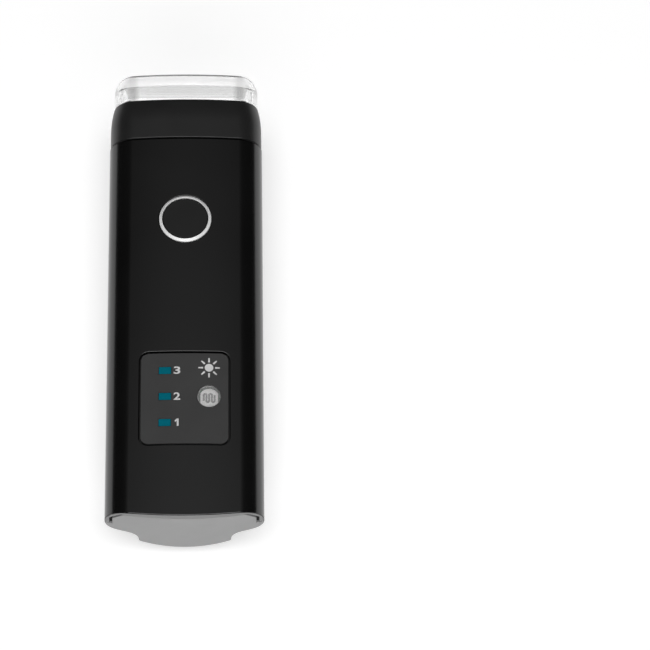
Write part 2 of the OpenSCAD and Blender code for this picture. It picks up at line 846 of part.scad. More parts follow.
// Piece on the board's upper side, w across, l along and h high
module chip(x, y, w, l, h) {
    block(w, y - l/2, y + l/2, z_board_top, z_board_top + h, x);
}

module driver_components() {
    color([0.1, 0.1, 0.1]) {
        chip(-chip_x, y_coil, coil_w, coil_w, coil_h);
        chip(chip_x, y_coil, chip_w, chip_l, chip_h);
        chip(-chip_x, y_chips, chip_w, chip_l, chip_h);
        chip(chip_x, y_chips, diode_w, diode_w, chip_h);
    }
}

module battery() {
    r = battery_r;
    color([0.35, 0.55, 0.75]) along_y(y_battery, y_battery_end) {
        translate([-battery_w/2 + r, z_battery]) square([battery_w - 2*r, battery_t]);
        translate([-battery_w/2, z_battery + r]) square([battery_w, battery_t - 2*r]);
        for (sx = [-1, 1]) for (z = [z_battery + r, z_battery + battery_t - r])
            translate([sx*(battery_w/2 - r), z]) circle(r);
    }
}

module battery_pad() {
    pad_l = rail_pitch - screw_head_d - 2*pad_end_gap;
    color([0.2, 0.2, 0.2]) block(battery_pad_w, rail_y - pad_l/2, rail_y + pad_l/2, z_floor, z_battery);
}

module battery_leads() {
    z = z_battery + battery_t*0.6;
    y = y_battery_end + battery_lead_out;
    color("firebrick") for (sx = [-1, 1]) translate([sx*battery_lead_x, 0, 0]) {
        translate([0, 0, z]) rod_y(lead_d, y_battery_end, y);
        translate([0, y, z]) sphere(d = lead_d);
        translate([0, y, 0]) post(lead_d, z, z_board);
    }
}

// Polished ring: a sleeve in the cover's hole, with a rim that slopes up to its bore
module button_ring() {
    color("gainsboro") translate([0, y_button, 0]) rotate_extrude() polygon([
        [ring_bore/2, z_sleeve], [ring_sleeve_d/2, z_sleeve], [ring_sleeve_d/2, z_ring_seat],
        [ring_d/2, z_ring_seat], [ring_d/2, z_top], [ring_bore/2 + ring_edge, z_top + ring_rise],
        [ring_bore/2, z_button_top]]);
}

module power_button() {
    color([0.13, 0.13, 0.135]) translate([0, y_button, 0]) rotate_extrude() polygon([
        [0, z_plunger_top], [plunger_d/2, z_plunger_top], [plunger_d/2, z_flange],
        [flange_d/2, z_flange], [flange_d/2, z_flange + flange_t], [cap_d/2, z_flange + flange_t],
        [cap_d/2, z_button_top - cap_edge], [cap_d/2 - cap_edge, z_button_top], [0, z_button_top]]);
}

module button_seal() {
    color([0.1, 0.1, 0.1]) translate([0, y_button, 0]) difference() {
        post(seal_d, z_flange, z_roof);
        post(ring_sleeve_d + 2*close, z_flange - past, z_roof + past);
    }
}

module tact_switch() {
    color([0.2, 0.2, 0.2]) translate([0, y_button, 0]) difference() {
        block(tact_w, -tact_w/2, tact_w/2, z_board_top, z_tact_top);
        post(plunger_d + 2*thread_gap, z_board_top + tact_floor, z_tact_top + past);
    }
}

module switch_plunger() {
    color("ivory") translate([0, y_button, 0])
        post(plunger_d, z_board_top + tact_floor + plunger_gap + button_travel, z_plunger_top);
}

module indicator_panel() {
    color([0.24, 0.24, 0.24]) difference() {
        intersection() {
            upright(z_panel, z_top) panel_plan(0);
            under_crown(panel_drop);
        }
        at_windows() window_bar(close, z_panel - past, z_top + past);
        translate([x_sensor, y_windows, 0]) post(sensor_d + 2*close, z_panel - past, z_top + past);
    }
}

module panel_gasket() {
    color([0.08, 0.08, 0.08]) upright(z_pocket, z_panel) difference() {
        panel_plan(-play);
        panel_plan(-panel_ledge - play);
    }
}

// Clear bars that carry the light up to the panel's three windows
module light_guides() {
    color([0.03, 0.35, 0.41]) intersection() {
        at_windows() {
            window_bar(0, z_panel - past, z_top);
            window_bar(guide_rim, z_board_top + led_h + play, z_panel);
        }
        under_crown(panel_drop + cap_drop);
    }
}

module indicator_leds() {
    color("white") at_windows() chip(0, 0, window_w, led_l, led_h);
}

module sensor_window() {
    color([0.8, 0.85, 0.85, 0.5]) intersection() {
        translate([x_sensor, y_windows, 0]) {
            post(sensor_d, z_panel - sensor_rim_t/2, z_top);
            post(sensor_d + 2*sensor_rim_w, z_panel - sensor_rim_t, z_panel);
        }
        under_crown(panel_drop + cap_drop);
    }
}

// Photoresistor: a disc with two flats, on two wires
module light_sensor() {
    d = sensor_disc_d;
    z0 = z_sensor_top - sensor_disc_t;
    color([0.8, 0.78, 0.72]) translate([x_sensor, y_windows, 0]) {
        intersection() {
            post(d, z0, z_sensor_top);
            block(0.85*d, -d, d, z0 - past, z_sensor_top);
        }
        for (s = [-1, 1]) translate([0, s*0.3*d, 0]) post(sensor_lead_d, z_board_top, z0 + sensor_disc_t/2);
    }
}

module usb_socket() {
    wall = socket_wall;
    depth = socket_h - socket_back;
    color("silver") difference() {
        block(socket_w, y_well - socket_l/2, y_well + socket_l/2, z_socket, z_board);
        difference() {
            block(socket_w - 2*wall, y_well - socket_l/2 + wall, y_well + socket_l/2 - wall,
                z_socket - past, z_socket + depth);
            block(socket_tongue_w, y_well - play, y_well + sink, z_socket + boss_room, z_socket + depth);
        }
    }
}

module port_seal() {
    color([0.08, 0.08, 0.08]) difference() {
        block(socket_w + 2*seal_edge, y_well - socket_l/2 - seal_edge, y_well + socket_l/2 + seal_edge,
            z_ceiling + ceiling_t, z_socket);
        block(slot_w, y_well - slot_l/2, y_well + slot_l/2, z_ceiling, z_socket + past);
    }
}

module usb_cover() {
    color([0.14, 0.14, 0.14]) difference() {
        union() {
            intersection() {
                block(door_w, y_pin, y_door_end, 0, rail_h + door_t);
                along_y(y_pin - past, y_door_end + past) polygon(body_outline);
                union() {
                    block(door_w, y_well0 - door_step, y_door_end, 0, z_top);
                    block(knuckle_l, y_pin, y_door_end, 0, z_top);
                }
            }
            rod_x(2*knuckle_r, knuckle_l, y_pin, z_pin);
        }
        rod_x(pin_d + 2*thread_gap, 2*door_w, y_pin, z_pin);
    }
}

module hinge_pin() {
    color("silver") rod_x(pin_d, pin_l, y_pin, z_pin);
}

// T-shaped rail that a bracket slides over, hollowed on top to sit on the keel
module mount_rail() {
    y0 = rail_y - rail_l/2;
    y1 = rail_y + rail_l/2;
    color([0.12, 0.12, 0.12]) difference() {
        union() {
            block(foot_w, y0, y1, 0, foot_t);
            block(neck_w, y0, y1, 0, z_keel_edge);
        }
        along_y(y0 - past, y1 + past) polygon(body_outline);
        at_pairs(foot_w/2, [y0 + notch_in]) post(notch_d, -past, foot_t + past);
        at_rail_screws() post(screw_d + 2*thread_gap, rail_skin, z_keel_edge + past);
    }
}

module rail_screws() {
    color("silver") at_rail_screws() translate([0, 0, z_floor]) rotate([180, 0, 0])
        screw(screw_d, z_floor - rail_skin - 2*play, screw_head_d, rail_head_h);
}

top_cover();
lower_case();
case_seal();
case_screws();
front_bezel();
bezel_screws();
lens();
lens_seal();
reflector();
led_board();
led_emitter();
heat_sink();
led_screws();
led_leads();
main_board();
board_screws();
driver_components();
battery();
battery_pad();
battery_leads();
button_ring();
power_button();
button_seal();
tact_switch();
switch_plunger();
indicator_panel();
panel_gasket();
light_guides();
indicator_leds();
sensor_window();
light_sensor();
usb_socket();
port_seal();
usb_cover();
hinge_pin();
mount_rail();
rail_screws();
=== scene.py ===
"""Looks of the bike headlight: its finishes, rounded edges, panel print, camera and studio."""
import math

import bmesh
import bpy
import numpy as np
from mathutils import Matrix, Vector


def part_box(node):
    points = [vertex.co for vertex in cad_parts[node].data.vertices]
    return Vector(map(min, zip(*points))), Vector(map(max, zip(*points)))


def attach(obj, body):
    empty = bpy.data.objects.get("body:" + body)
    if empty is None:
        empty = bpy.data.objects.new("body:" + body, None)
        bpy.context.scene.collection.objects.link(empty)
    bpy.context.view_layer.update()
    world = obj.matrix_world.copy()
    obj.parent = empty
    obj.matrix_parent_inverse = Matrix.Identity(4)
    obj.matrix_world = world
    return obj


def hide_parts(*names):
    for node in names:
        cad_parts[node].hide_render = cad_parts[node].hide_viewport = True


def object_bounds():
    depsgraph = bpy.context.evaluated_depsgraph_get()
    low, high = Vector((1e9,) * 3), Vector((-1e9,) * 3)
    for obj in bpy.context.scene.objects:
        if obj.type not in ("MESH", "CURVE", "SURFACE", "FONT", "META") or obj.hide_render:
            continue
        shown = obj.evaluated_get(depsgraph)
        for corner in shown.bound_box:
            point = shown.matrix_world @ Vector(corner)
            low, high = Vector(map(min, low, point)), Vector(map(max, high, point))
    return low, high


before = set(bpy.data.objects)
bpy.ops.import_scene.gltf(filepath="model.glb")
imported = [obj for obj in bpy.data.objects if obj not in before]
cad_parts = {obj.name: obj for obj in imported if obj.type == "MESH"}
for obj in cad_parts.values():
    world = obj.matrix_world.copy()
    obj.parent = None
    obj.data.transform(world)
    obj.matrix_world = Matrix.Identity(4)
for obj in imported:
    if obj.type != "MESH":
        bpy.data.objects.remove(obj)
cad_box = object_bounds()
MM = 0.001

# Sizes of the CAD that the finishes and the panel's print follow, in metres
CROWN_R = 0.125
CORNER_R = 0.0068
END_BOW_R = 0.1
WINDOW_PITCH = 0.0072
LENS_FRONT_T = 0.003325
SEAM_GAP = 0.00025
COVER_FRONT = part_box("top_cover")[1].y
PANEL_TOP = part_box("indicator_panel")[1].z
BUTTON_MID = (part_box("button_ring")[0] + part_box("button_ring")[1]) / 2
REAR_BOW_Y = cad_box[0].y + END_BOW_R

# Rounding of the lens's front corners in plan: its width, how far it falls back, and its cuts
LENS_CORNER_W = 5 * MM
LENS_CORNER_BACK = 2.6 * MM
LENS_CORNER_CUTS = 6
REAR_RIM_MM = 0.32
ACRYLIC_IOR = 1.49

# The panel's print and the sensor's track
INK_T = 0.012 * MM
INK_LIFT = 0.002 * MM
NUMERAL_SIZE = (1.65 * MM, 2.05 * MM)
NUMERAL_BOLD = 0.022
ONE_SIZE = (0.95 * MM, 2.0 * MM)
PRINT_RIGHT = 3 * MM
SUN_AHEAD = 7.9 * MM
SUN_SIZE = 5.4 * MM
SUN_POINTS = 40
SUN_RAYS = 8
TRACK_T = 0.03 * MM
TRACK_W = 0.5 * MM
TRACK_RUNS = 5
TRACK_L = 1.6 * MM

# The photograph's viewpoint, fitted to its edges: pixels, degrees and millimetres
PHOTO_W = 650
FOCAL_PIXELS = 3600
LOOK_DOWN = 62.896
LOOK_TURN = -1.33
LOOK_ROLL = -0.208
EYE = (14.231, -423.817, 828.544)

# The studio: half the floor's side, its level, its own glow, and the world's strength
FLOOR_HALF = 4.0
FLOOR_Z = -0.05 * MM
FLOOR_GLOW = 0.52
FLOOR_GLOW_THROUGH = 0.18
WALL_STRENGTH = 0.02
ZENITH_STRENGTH = 0.8
WHITE = (1, 1, 1, 1)


def tone(red, green=None, blue=None):
    """Linear colour of an sRGB value from 0 to 255, or of three of them."""
    codes = np.array([red, red if green is None else green, red if blue is None else blue]) / 255
    linear = np.where(codes > 0.04045, ((codes + 0.055) / 1.055) ** 2.4, codes / 12.92)
    return (*linear.tolist(), 1.0)


class Term:
    """A shader socket in a Python expression: each operator adds a Math node to its finish."""

    def __init__(self, finish, socket):
        self.finish = finish
        self.socket = socket

    def math(self, operation, *terms):
        return self.finish.node("ShaderNodeMath", {"operation": operation}, terms)

    def __add__(self, other):
        return self.math("ADD", self, other)

    def __sub__(self, other):
        return self.math("SUBTRACT", self, other)

    def __rsub__(self, other):
        return self.math("SUBTRACT", other, self)

    def __mul__(self, other):
        return self.math("MULTIPLY", self, other)

    def __truediv__(self, other):
        return self.math("DIVIDE", self, other)

    def __pow__(self, other):
        return self.math("POWER", self, other)

    def __gt__(self, other):
        return self.math("GREATER_THAN", self, other)

    def __lt__(self, other):
        return self.math("LESS_THAN", self, other)

    def __abs__(self):
        return self.math("ABSOLUTE", self)

    def sine(self):
        return self.math("SINE", self)

    def fraction(self):
        return self.math("FRACT", self)

    def larger(self, other):
        return self.math("MAXIMUM", self, other)

    __radd__ = __add__
    __rmul__ = __mul__


class Finish:
    """A node tree being written: node() adds any node, and surface() closes a material."""

    def __init__(self, name, tree=None):
        self.material = None
        if tree is None:
            self.material = bpy.data.materials.new(name)
            self.material.use_nodes = True
            tree = self.material.node_tree
        self.tree = tree
        self.tree.nodes.clear()

    def node(self, kind, settings=None, inputs=(), out=0):
        """Adds a node, sets its settings, then its sockets from values or terms, by name or order."""
        made = self.tree.nodes.new(kind)
        for key, value in (settings or {}).items():
            setattr(made, key, value)
        pairs = inputs.items() if isinstance(inputs, dict) else enumerate(inputs)
        for key, value in pairs:
            if isinstance(value, Term):
                self.tree.links.new(value.socket, made.inputs[key])
            else:
                made.inputs[key].default_value = value
        return Term(self, made.outputs[out]) if made.outputs else None

    def split(self, vector):
        """The three parts of a vector, each as a term."""
        sockets = self.node("ShaderNodeSeparateXYZ", inputs=[vector]).socket.node.outputs
        return [Term(self, socket) for socket in sockets]

    def place(self):
        """Object coordinates in millimetres."""
        here = self.node("ShaderNodeTexCoord", out="Object")
        scaled = {"Vector": here, "Scale": 1 / MM}
        return self.node("ShaderNodeVectorMath", {"operation": "SCALE"}, scaled)

    def axes(self):
        """The three Object coordinates in millimetres, each as a term."""
        return self.split(self.place())

    def noise(self, scale, detail=2.0, stretch=None):
        """Cloudy values about 0.5, with scale features to the millimetre, drawn out by stretch."""
        where = self.place()
        if stretch:
            where = self.node("ShaderNodeVectorMath", {"operation": "MULTIPLY"}, [where, stretch])
        inputs = {"Vector": where, "Scale": scale, "Detail": detail}
        return self.node("ShaderNodeTexNoise", None, inputs)

    def ramp(self, value, low, high):
        """0 below low, 1 above high, and a straight slope between them."""
        inputs = {"Value": value, "From Min": low, "From Max": high}
        return self.node("ShaderNodeMapRange", None, inputs)

    def band(self, value, rise, fall):
        """1 between two slopes, each given by its low and high end, and 0 outside them."""
        return self.ramp(value, *rise) * (1.0 - self.ramp(value, *fall))

    def blend(self, factor, a, b):
        """Colour a where the factor is 0 and b where it is 1."""
        return self.node("ShaderNodeMix", {"data_type": "RGBA"}, {0: factor, 6: a, 7: b}, out=2)

    def bump(self, height, depth):
        """Normal of a relief whose height runs from 0 to depth millimetres."""
        inputs = {"Strength": 1.0, "Distance": depth * MM, "Height": height}
        return self.node("ShaderNodeBump", None, inputs)

    def rays(self, *names):
        """1 for the kinds of ray with those names in Light Path, and 0 for all others."""
        path = self.node("ShaderNodeLightPath").socket.node.outputs
        seen = Term(self, path[names[0]])
        for name in names[1:]:
            seen = seen.larger(Term(self, path[name]))
        return seen

    def surface(self, **sockets):
        """Closes the material with a Principled shader; a word's _ stands for a space."""
        inputs = {key.replace("_", " "): value for key, value in sockets.items()}
        shader = self.node("ShaderNodeBsdfPrincipled", None, inputs)
        self.node("ShaderNodeOutputMaterial", None, {"Surface": shader})
        return self.material


def cover_black():
    """Bead-blasted black anodising with painted shade: a near-black, fully metallic band along the front
    edge stands in for the shadow in the seam; bare where the rear end was cut.
    """
    f = Finish("cover_black")
    x, y, _ = f.axes()
    grit = f.noise(5.0, 3.0)
    cloud = f.noise(0.05, 2.0)
    bow = (x ** 2.0 + (y - REAR_BOW_Y / MM) ** 2.0) ** 0.5
    cut = f.ramp(bow, END_BOW_R / MM - 0.05, END_BOW_R / MM - 0.02)
    # painted shade: the last 0.3 to 0.4 mm of the cover's front edge turns near black and metallic,
    # standing in for the dark gap of the seam
    painted_seam_shade = f.ramp(y, COVER_FRONT / MM - 0.4, COVER_FRONT / MM - 0.3)
    scratch = f.noise(1.5, 2.0, (0.1, 1.0, 9.0))
    black = f.blend(painted_seam_shade, f.blend(cloud, tone(8), tone(13)), tone(2))
    bare = f.blend(scratch, tone(116), tone(140))
    rough = 0.15 + 0.06 * cloud + 0.04 * grit + 0.3 * cut
    return f.surface(Base_Color=f.blend(cut, black, bare), Roughness=rough, Metallic=0.2 * cut + painted_seam_shade,
                     Specular_IOR_Level=0.6, Normal=f.bump(grit, 0.0006))


def moulded(name, low, high, rough, grain=4.0, depth=0.006, level=0.5):
    """Moulded plastic or rubber with a spark-eroded grain and faint flow clouds."""
    f = Finish(name)
    grit = f.noise(grain, 3.0)
    cloud = f.noise(0.12, 3.0)
    colour = f.blend(f.ramp(cloud, 0.3, 0.7), low, high)
    return f.surface(Base_Color=colour, Roughness=rough - 0.05 + 0.1 * grit,
                     Specular_IOR_Level=level, Normal=f.bump(grit, depth))


def bezel_black():
    """Moulded black plastic with painted shade: near black and rough on the end that the seam hides,
    standing in for the gap's shadow.
    """
    f = Finish("bezel_black")
    y = f.axes()[1]
    grit = f.noise(5.0, 3.0)
    plain = f.blend(f.ramp(f.noise(0.12, 3.0), 0.3, 0.7), tone(30), tone(34))
    # painted shade: the bezel's rear end inside the seam turns near black and rough, standing in for the
    # shadow in the gap
    painted_gap_shade = y < (COVER_FRONT + SEAM_GAP) / MM + 0.1
    return f.surface(Base_Color=f.blend(painted_gap_shade, plain, tone(3)), Specular_IOR_Level=0.4,
                     Roughness=0.31 + 0.1 * grit + 0.5 * painted_gap_shade, Normal=f.bump(grit, 0.003))


def drawn_metal(name, low, high, rough, stretch):
    """Metal with fine lines drawn out along one axis and a patchy gloss."""
    f = Finish(name)
    lines = f.noise(6.0, 3.0, stretch)
    patch = f.noise(0.4, 2.0)
    return f.surface(Base_Color=f.blend(lines, low, high), Metallic=1.0,
                     Roughness=rough - 0.06 + 0.12 * patch, Normal=f.bump(lines, 0.002))


def ring_chrome():
    """Turned and plated metal: fine rings about the button's middle; its near-white, mostly diffuse
    colour is partly painted reflection, standing in for the plating's mirror of the white studio.
    """
    f = Finish("ring_chrome")
    x, y, _ = f.axes()
    reach = ((x - BUTTON_MID.x / MM) ** 2.0 + (y - BUTTON_MID.y / MM) ** 2.0) ** 0.5
    turned = (reach * 60.0).sine()
    patch = f.noise(0.5, 2.0)
    # painted reflection: a near-white base at low metallic keeps the ring bright all round in place of
    # real mirroring
    return f.surface(Base_Color=f.blend(patch, tone(240), tone(250)), Metallic=0.2,
                     Roughness=0.34 + 0.08 * patch, Normal=f.bump(turned, 0.0008))


def window_clear():
    """Clear plastic with a faintly uneven polish, a little milky."""
    f = Finish("window_clear")
    wave = f.noise(0.3, 1.0)
    return f.surface(Base_Color=tone(238), Roughness=0.08 + 0.08 * wave,
                     Transmission_Weight=0.86, IOR=ACRYLIC_IOR)


def lens_clear():
    """Clear cap with painted shade: striped grey on its inner front face, dark grey on its rounded front
    edge and a grey band near its corners stand in for the dark seen through the glass; thin at its
    sides.
    """
    f = Finish("lens_clear")
    x, y, z = f.axes()
    out = abs(x)
    low, high = (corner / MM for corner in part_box("lens"))
    depth = y - (high.y - LENS_FRONT_T / MM)
    rise = z - (low.z + high.z) / 2
    inner = (abs(depth) < 0.1) * (rise > -0.6) * (rise < 6.5) * (out < 16.5)
    lines = (z * 7.0).sine()
    ahead = f.split(f.node("ShaderNodeTexCoord", out="Normal"))[1]
    # painted shade: dark grey on the rounded front edge, standing in for the dark that refraction shows
    # there
    edge = f.band(ahead, (0.1, 0.35), (0.9, 0.98)) * (1.0 - f.ramp(out, 13.5, 17.0))
    # painted shade: a light grey band where the cap turns at its corners, standing in for the shading
    # seen through the glass
    painted_corner_shade = f.band(out, (12.0, 13.5), (14.5, 16.0))
    # painted shade: striped grey on the inner front face, standing in for the dark reflections seen
    # inside the cap
    painted_inner_shade = f.blend(0.5 + 0.5 * lines, tone(172), tone(190))
    clear = f.blend(painted_corner_shade, tone(255), tone(224))
    clear_and_painted_shade = f.blend(edge, f.blend(inner, clear, painted_inner_shade), tone(60))
    side = f.ramp(out, 15.5, 18.0)
    return f.surface(Base_Color=clear_and_painted_shade, Roughness=0.012 + 0.016 * f.noise(0.3, 1.0),
                     Alpha=1.0 - 0.75 * side, Transmission_Weight=1.0, IOR=ACRYLIC_IOR)


def guide_teal():
    """Tinted light guide, a little cloudy and almost without gloss."""
    f = Finish("guide_teal")
    cloud = f.noise(0.8, 2.0)
    return f.surface(Base_Color=f.blend(cloud, tone(0, 92, 108), tone(2, 100, 117)),
                     Roughness=0.5 + 0.08 * cloud, Specular_IOR_Level=0.03)


def board_green():
    """Solder-masked board: copper tracks show as paler lines on a grid of 1.27 mm."""
    f = Finish("board_green")
    across = (f.axes()[0] / 1.27).fraction()
    track = (across < 0.3) * (f.noise(0.25, 1.0) > 0.5)
    colour = f.blend(track, tone(16, 70, 38), tone(36, 104, 58))
    return f.surface(Base_Color=colour, Roughness=0.35 + 0.1 * f.noise(2.0),
                     Normal=f.bump(track, 0.02))


def battery_wrap():
    """Shrunk sleeve: glossy blue film with drawn wrinkles."""
    f = Finish("battery_wrap")
    wrinkle = f.noise(0.5, 3.0, (1.0, 0.2, 1.0))
    return f.surface(Base_Color=f.blend(wrinkle, tone(58, 92, 140), tone(78, 116, 166)),
                     Roughness=0.22 + 0.12 * wrinkle, Normal=f.bump(wrinkle, 0.05))


def led_phosphor():
    """Phosphor under a clear dome: warm yellow with fine powder grain."""
    f = Finish("led_phosphor")
    powder = f.noise(12.0, 3.0)
    return f.surface(Base_Color=f.blend(powder, tone(226, 190, 62), tone(244, 214, 98)),
                     Roughness=0.25 + 0.1 * powder, Coat_Weight=0.6)


FINISHES = {
    "cover_black": cover_black(),
    "case_grey": moulded("case_grey", tone(152), tone(158), 0.5),
    "bezel_black": bezel_black(),
    "lens_clear": lens_clear(),
    "ring_chrome": ring_chrome(),
    "button_black": moulded("button_black", tone(19), tone(22), 0.62, 6.0, 0.006, 0.3),
    "panel_grey": moulded("panel_grey", tone(54), tone(58), 0.6, 7.0, 0.004, 0.25),
    "guide_teal": guide_teal(),
    "window_clear": window_clear(),
    "sensor_pale": moulded("sensor_pale", tone(222, 222, 220), tone(234, 234, 232), 0.45),
    "rubber_black": moulded("rubber_black", tone(13), tone(18), 0.75, 3.0, 0.01, 0.25),
    "door_black": moulded("door_black", tone(29), tone(34), 0.58, 3.0, 0.01),
    "rail_black": moulded("rail_black", tone(31), tone(36), 0.48, 4.0, 0.008),
    "screw_steel": drawn_metal("screw_steel", tone(168), tone(196), 0.3, (1.0, 1.0, 0.2)),
    "socket_steel": drawn_metal("socket_steel", tone(176), tone(202), 0.28, (1.0, 1.0, 0.15)),
    "reflector_silver": drawn_metal("reflector_silver", tone(228), tone(236), 0.1, (1.0, 0.1, 1.0)),
    "led_phosphor": led_phosphor(),
    "led_board_white": moulded("led_board_white", tone(222, 222, 216), tone(232, 232, 226), 0.4),
    "sink_aluminium": drawn_metal("sink_aluminium", tone(176), tone(204), 0.4, (0.2, 1.0, 1.0)),
    "board_green": board_green(),
    "chip_black": moulded("chip_black", tone(28), tone(36), 0.55),
    "diode_white": moulded("diode_white", tone(226, 224, 208), tone(236, 234, 220), 0.35),
    "battery_wrap": battery_wrap(),
    "foam_black": moulded("foam_black", tone(40), tone(54), 0.9, 1.5, 0.15),
    "lead_red": moulded("lead_red", tone(150, 28, 24), tone(170, 38, 32), 0.42),
    "plunger_white": moulded("plunger_white", tone(222, 218, 204), tone(232, 228, 216), 0.4),
}
INK = moulded("panel_ink", tone(196), tone(212), 0.6, 8.0, 0.002, 0.25)
TRACK = moulded("sensor_track", tone(106), tone(124), 0.5)

# Nodes that show: their slot, the rounding of their edges in millimetres, or 0 where their curves
# are smoothed instead, and the least angle of an edge in degrees
SHOWN = {
    "top_cover": ("cover_black", 0.16, 40),
    "lower_case": ("case_grey", 0.12, 40),
    "front_bezel": ("bezel_black", 0.28, 40),
    "lens": ("lens_clear", 0, 40),
    "button_ring": ("ring_chrome", 0.04, 12),
    "power_button": ("button_black", 0.08, 30),
    "indicator_panel": ("panel_grey", 0.08, 40),
    "light_guides": ("guide_teal", 0.05, 40),
    "sensor_window": ("window_clear", 0.06, 40),
    "light_sensor": ("sensor_pale", 0.08, 40),
    "reflector": ("reflector_silver", 0.05, 50),
    "usb_cover": ("door_black", 0.15, 40),
    "usb_socket": ("socket_steel", 0.04, 40),
    "hinge_pin": ("screw_steel", 0.06, 40),
    "mount_rail": ("rail_black", 0.2, 40),
    "case_screws": ("screw_steel", 0.1, 40),
    "bezel_screws": ("screw_steel", 0.1, 40),
}

# Nodes inside, which keep the CAD shape
INSIDE = {
    "rubber_black": ["case_seal", "lens_seal", "button_seal", "panel_gasket", "port_seal"],
    "screw_steel": ["led_screws", "board_screws", "rail_screws"],
    "led_board_white": ["led_board"],
    "led_phosphor": ["led_emitter"],
    "sink_aluminium": ["heat_sink"],
    "lead_red": ["led_leads", "battery_leads"],
    "board_green": ["main_board"],
    "chip_black": ["driver_components", "tact_switch"],
    "diode_white": ["indicator_leds"],
    "battery_wrap": ["battery"],
    "foam_black": ["battery_pad"],
    "plunger_white": ["switch_plunger"],
}
BODY_OF = {"power_button": "button", "usb_cover": "port_cover"}


def rounded(piece, name, width, segments):
    """A Bevel modifier of that width in millimetres."""
    edge = piece.modifiers.new(name, "BEVEL")
    edge.width = width * MM
    edge.segments = segments
    edge.use_clamp_overlap = False
    edge.harden_normals = True
    return edge


def read(items, key, width, kind=float):
    """One property of a mesh's items as an array, with width values to the row."""
    values = np.empty(len(items) * width, kind)
    items.foreach_get(key, values)
    return values.reshape(-1, width)


def cover_corner(top):
    """Middle of the arc of the cover's right upper corner, in x and z, for that height of its crown."""
    x = cad_box[1].x - CORNER_R
    return x, top - CROWN_R + math.sqrt((CROWN_R - CORNER_R) ** 2 - x ** 2)


def rear_edge(piece):
    """Group of the cover's points on the outer edge of its bowed rear end."""
    x, y, z = read(piece.data.vertices, "co", 3).T
    corner_x, corner_z = cover_corner(z.max())
    out = np.hypot(np.maximum(np.abs(x) - corner_x, 0), np.maximum(z - corner_z, 0))
    on_bow = np.hypot(x, y - REAR_BOW_Y) > END_BOW_R - 0.05 * MM
    group = piece.vertex_groups.new(name="rear_edge")
    group.add(np.flatnonzero(on_bow & (out > CORNER_R - 0.3 * MM)).tolist(), 1.0, "REPLACE")
    return group.name


def true_normals(piece):
    """Turns the cover's modifiers into mesh, then gives its crown, corners and sides exact normals."""
    graph = bpy.context.evaluated_depsgraph_get()
    mesh = bpy.data.meshes.new_from_object(piece.evaluated_get(graph), depsgraph=graph)
    piece.modifiers.clear()
    piece.data = mesh
    points = read(mesh.vertices, "co", 3)[read(mesh.loops, "vertex_index", 1, int)[:, 0]]
    counts = read(mesh.polygons, "loop_total", 1, int)[:, 0]
    faces = np.repeat(read(mesh.polygons, "normal", 3), counts, 0)
    x, _, z = points.T
    corner_x, corner_z = cover_corner(z.max())
    on_crown = np.abs(x) < corner_x * CROWN_R / (CROWN_R - CORNER_R)
    across = np.where(on_crown, x, np.sign(x) * np.maximum(np.abs(x) - corner_x, 0))
    up = np.where(on_crown, z - z.max() + CROWN_R, np.maximum(z - corner_z, 0))
    true = np.column_stack([across, np.zeros(len(x)), up])
    true /= np.linalg.norm(true, axis=1)[:, None]
    normals = read(mesh.corner_normals, "vector", 3)
    outer = (np.abs(faces[:, 1]) < 0.01) & ((faces * true).sum(1) > 0.99)
    normals[outer] = true[outer]
    mesh.normals_split_custom_set(normals.tolist())


def smoothed(piece, angle):
    """Smooths a clear piece's facets into curves, and keeps its edges of more than that angle."""
    mesh = piece.data
    mesh.set_sharp_from_angle(angle=math.radians(angle))
    sharp = read(mesh.attributes["sharp_edge"].data, "value", 1, bool)[:, 0]
    mesh.attributes.new("crease_edge", "FLOAT", "EDGE").data.foreach_set("value", sharp.astype(float))
    curve = piece.modifiers.new("curves", "SUBSURF")
    curve.levels = 2
    curve.render_levels = 2


def cut_across(shape):
    """Cuts the lens's faces by planes along its length, so that its front corners can bend."""
    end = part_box("lens")[1].x
    cuts = np.linspace(end - LENS_CORNER_W, end - 0.4 * MM, LENS_CORNER_CUTS)
    for x in np.concatenate([cuts, -cuts]):
        parts = shape.verts[:] + shape.edges[:] + shape.faces[:]
        bmesh.ops.bisect_plane(shape, geom=parts, dist=1e-6, plane_co=(x, 0, 0), plane_no=(1, 0, 0))


def bend_corners(mesh):
    """Rounds the lens's front corners in plan: its ends fall back by an ellipse's sag, most in front."""
    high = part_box("lens")[1]
    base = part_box("front_bezel")[1].y
    points = read(mesh.vertices, "co", 3)
    out = np.clip((np.abs(points[:, 0]) - high.x) / LENS_CORNER_W + 1, 0, 1)
    ahead = np.clip((points[:, 1] - base) / (high.y - base), 0, 1)
    points[:, 1] -= LENS_CORNER_BACK * ahead * (1 - np.sqrt(1 - 0.96 * out ** 2))
    mesh.vertices.foreach_set("co", points.ravel())


def joined(node):
    """A copy of a node's mesh, its points joined and flat faces whole; the lens's corners are bent."""
    shape = bmesh.new()
    shape.from_mesh(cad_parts[node].data)
    bmesh.ops.remove_doubles(shape, verts=shape.verts, dist=1e-6)
    bmesh.ops.dissolve_limit(shape, angle_limit=math.radians(0.2), verts=shape.verts,
                             edges=shape.edges)
    if node == "lens":
        cut_across(shape)
    mesh = bpy.data.meshes.new(f"{node}_shown")
    shape.to_mesh(mesh)
    shape.free()
    if node == "lens":
        bend_corners(mesh)
    if "custom_normal" in mesh.attributes:
        mesh.attributes.remove(mesh.attributes["custom_normal"])
    mesh.shade_smooth()
    return mesh


